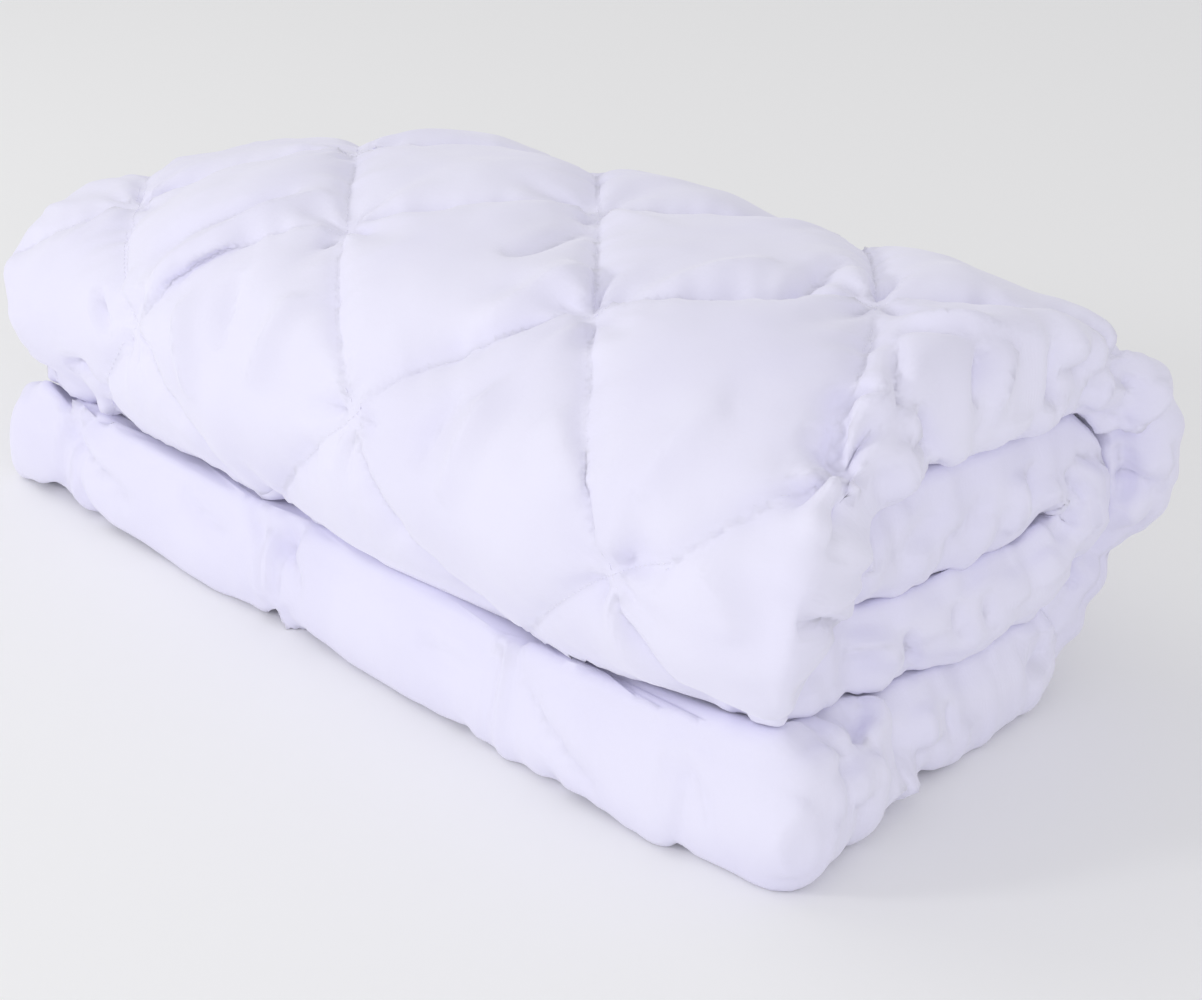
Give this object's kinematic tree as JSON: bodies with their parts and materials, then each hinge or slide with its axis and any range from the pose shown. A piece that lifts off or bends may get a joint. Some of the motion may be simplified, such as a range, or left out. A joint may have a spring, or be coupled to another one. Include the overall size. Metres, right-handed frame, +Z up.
{
  "type": "rolled quilted duvet",
  "caption": "Thick white quilted duvet folded and wound into a loose roll, lying on its lowest turn with the free end as a low foot at the front; bedding put away or carried.",
  "frame": {"origin": "centre of the roll's outline seen from above, on the surface that it lies on", "axes": "+X along the roll to the end where the turns show, +Y to the back, away from the loose foot, +Z up"},
  "size_m": [0.7358, 0.3738, 0.2589],
  "materials": {
    "cover": "brushed woven microfibre, matt with a soft sheen, filled and quilted in diamonds"
  },
  "bodies": {
    "root": {"duvet": "cover"}
  },
  "joints": []
}
